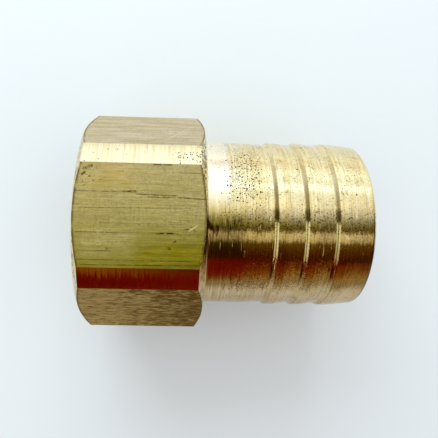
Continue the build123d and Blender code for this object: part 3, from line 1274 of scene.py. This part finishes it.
over_nose = [
    # the brown side in front, from the bench up
    (-92, (0.33, 0.25, 0.14)),
    (-84, (0.26, 0.14, 0.018)),
    (-76, (0.19, 0.065, 0.001)),
    (-68, (0.16, 0.045, 0.001)),
    (-61, (0.13, 0.020, 0.000)),
    (-57, (0.03, 0.000, 0.000)),
    (-42, (0.09, 0.03, 0.001)),
    (-31, (0.13, 0.07, 0.003)),
    # the gap of light
    (-27, (0.60, 0.50, 0.30)),
    (-18, (0.88, 0.76, 0.58)),
    # the edge of the ceiling, then brighter towards the back
    (-14.5, (0.28, 0.21, 0.09)),
    (-10, (0.12, 0.08, 0.010)),
    (-5, (0.24, 0.21, 0.09)),
    (2.6, (0.46, 0.45, 0.42)),
    (8, (0.74, 0.72, 0.78)),
    (15, (0.98, 0.97, 1.05)),
    (22, (1.20, 1.24, 1.38)),
    (32, (1.16, 1.22, 1.42)),
    (42, (1.14, 1.24, 1.45)),
    # the window
    (47, (1.58, 1.84, 2.50)),
    (53, (1.56, 1.82, 2.45)),
    # the wall, down to its foot
    (58, (1.14, 1.24, 1.48)),
    (72, (1.30, 1.50, 1.80)),
    (82, (1.24, 1.30, 1.50)),
    (90, (1.04, 1.04, 1.17)),
]
print("stops over the tail:", len(over_neck) + len(over_nose))

# %% The two ends of the room: past the head and past the nose
past_head = [
    # the brown side
    (-90, (0.20, 0.06, 0.02)),
    (-70, (0.15, 0.03, 0.008)),
    # a bright opening
    (-64, (0.90, 0.88, 0.70)),
    (-3, (1.0, 1.0, 0.95)),
    # dark overhead, and paler towards the back
    (1, (0.05, 0.04, 0.01)),
    (14, (0.10, 0.08, 0.02)),
    (26, (0.30, 0.24, 0.12)),
    (50, (0.42, 0.36, 0.22)),
    (90, (0.55, 0.49, 0.38)),
]
past_nose = [
    # the bench
    (-90, (0.50, 0.44, 0.38)),
    (-80, (0.26, 0.18, 0.12)),
    # dark up to the ceiling
    (-74, (0.05, 0.012, 0.004)),
    (-10, (0.03, 0.012, 0.003)),
    (6, (0.07, 0.05, 0.015)),
    # paler towards the back
    (22, (0.30, 0.24, 0.12)),
    (36, (0.85, 0.80, 0.62)),
    (60, (1.0, 1.0, 0.92)),
    (90, (0.95, 0.97, 1.0)),
]
print("stops past the ends:", len(past_head) + len(past_nose))

# %% The whole room, as each part of it takes over from the last
room = room_band(over_far_head)
for low, high, stops in (
    (-0.14, 0.02, over_head),
    (0.125, 0.175, over_neck),
    (0.20, 0.38, over_nose),
    (0.50, 0.75, past_nose),
    (-0.60, -0.78, past_head),
):
    room = blend(sky, eased(sky, towards["X"], low, high), room, room_band(stops))
print("the room takes", len(sky.nodes), "nodes")

# %% [markdown]
# ## What each kind of ray finds
#
# Three kinds of ray reach the world. A ray that the metal mirrors finds the room. A ray that lights
# something matt finds plain soft white from everywhere, and a ray straight from the camera finds white.

# %% What each kind of ray finds
SOFT_WHITE = (0.96, 0.98, 1.0, 1.0)
SOFT_STRENGTH = 0.81

in_metal = add(sky, "ShaderNodeBackground", {"Color": room, "Strength": 1.0}).outputs[0]
on_matt = add(sky, "ShaderNodeBackground", {"Color": SOFT_WHITE, "Strength": SOFT_STRENGTH}).outputs[0]
backdrop = add(sky, "ShaderNodeBackground", {"Color": WHITE, "Strength": 1.0}).outputs[0]
rays = add(sky, "ShaderNodeLightPath").outputs
lighting = add(sky, "ShaderNodeMixShader", {0: rays["Is Glossy Ray"], 1: on_matt, 2: in_metal}).outputs[0]
found = add(sky, "ShaderNodeMixShader", {0: rays["Is Camera Ray"], 1: lighting, 2: backdrop}).outputs[0]
add(sky, "ShaderNodeOutputWorld", {"Surface": found})
print("the world has", len(sky.nodes), "nodes")

# %% [markdown]
# ## The camera
#
# The camera looks almost straight down from a hand's width above the part, a little forward of it and a
# little towards the head. So near, the perspective is strong: the flats at the sides show.

# %% Camera
PICTURE = 438.0  # pixels, as are the next two
FOCAL = 467.47
CENTRE = (188.0, 194.11)  # where the lens points, from the top left corner
SENSOR = 36.0  # mm
CLOSEST = 5 * MM
FROM_SHOULDER = Vector((-0.2699, -0.1757, 4.5788))  # in corner radii
TURN = Vector((-0.0947, 0.0317, -0.0233))  # an axis, as long as the angle about it in radians

camera_data = bpy.data.cameras.new("camera")
camera_data.sensor_width = SENSOR
camera_data.lens = SENSOR * FOCAL / PICTURE
camera_data.shift_x = (PICTURE / 2 - CENTRE[0]) / PICTURE
camera_data.shift_y = (CENTRE[1] - PICTURE / 2) / PICTURE
camera_data.clip_start = CLOSEST
camera = bpy.data.objects.new("camera", camera_data)
bpy.context.scene.collection.objects.link(camera)
bpy.context.scene.camera = camera
camera.location = Vector((shoulder, 0.0, axis_height)) + corner_radius * FROM_SHOULDER
camera.rotation_mode = "QUATERNION"
camera.rotation_quaternion = Matrix.Rotation(TURN.length, 3, TURN.normalized()).transposed().to_quaternion()
bpy.context.scene.view_settings.view_transform = "Standard"
print("the camera is", round(camera.location.z / MM), "mm above the floor")
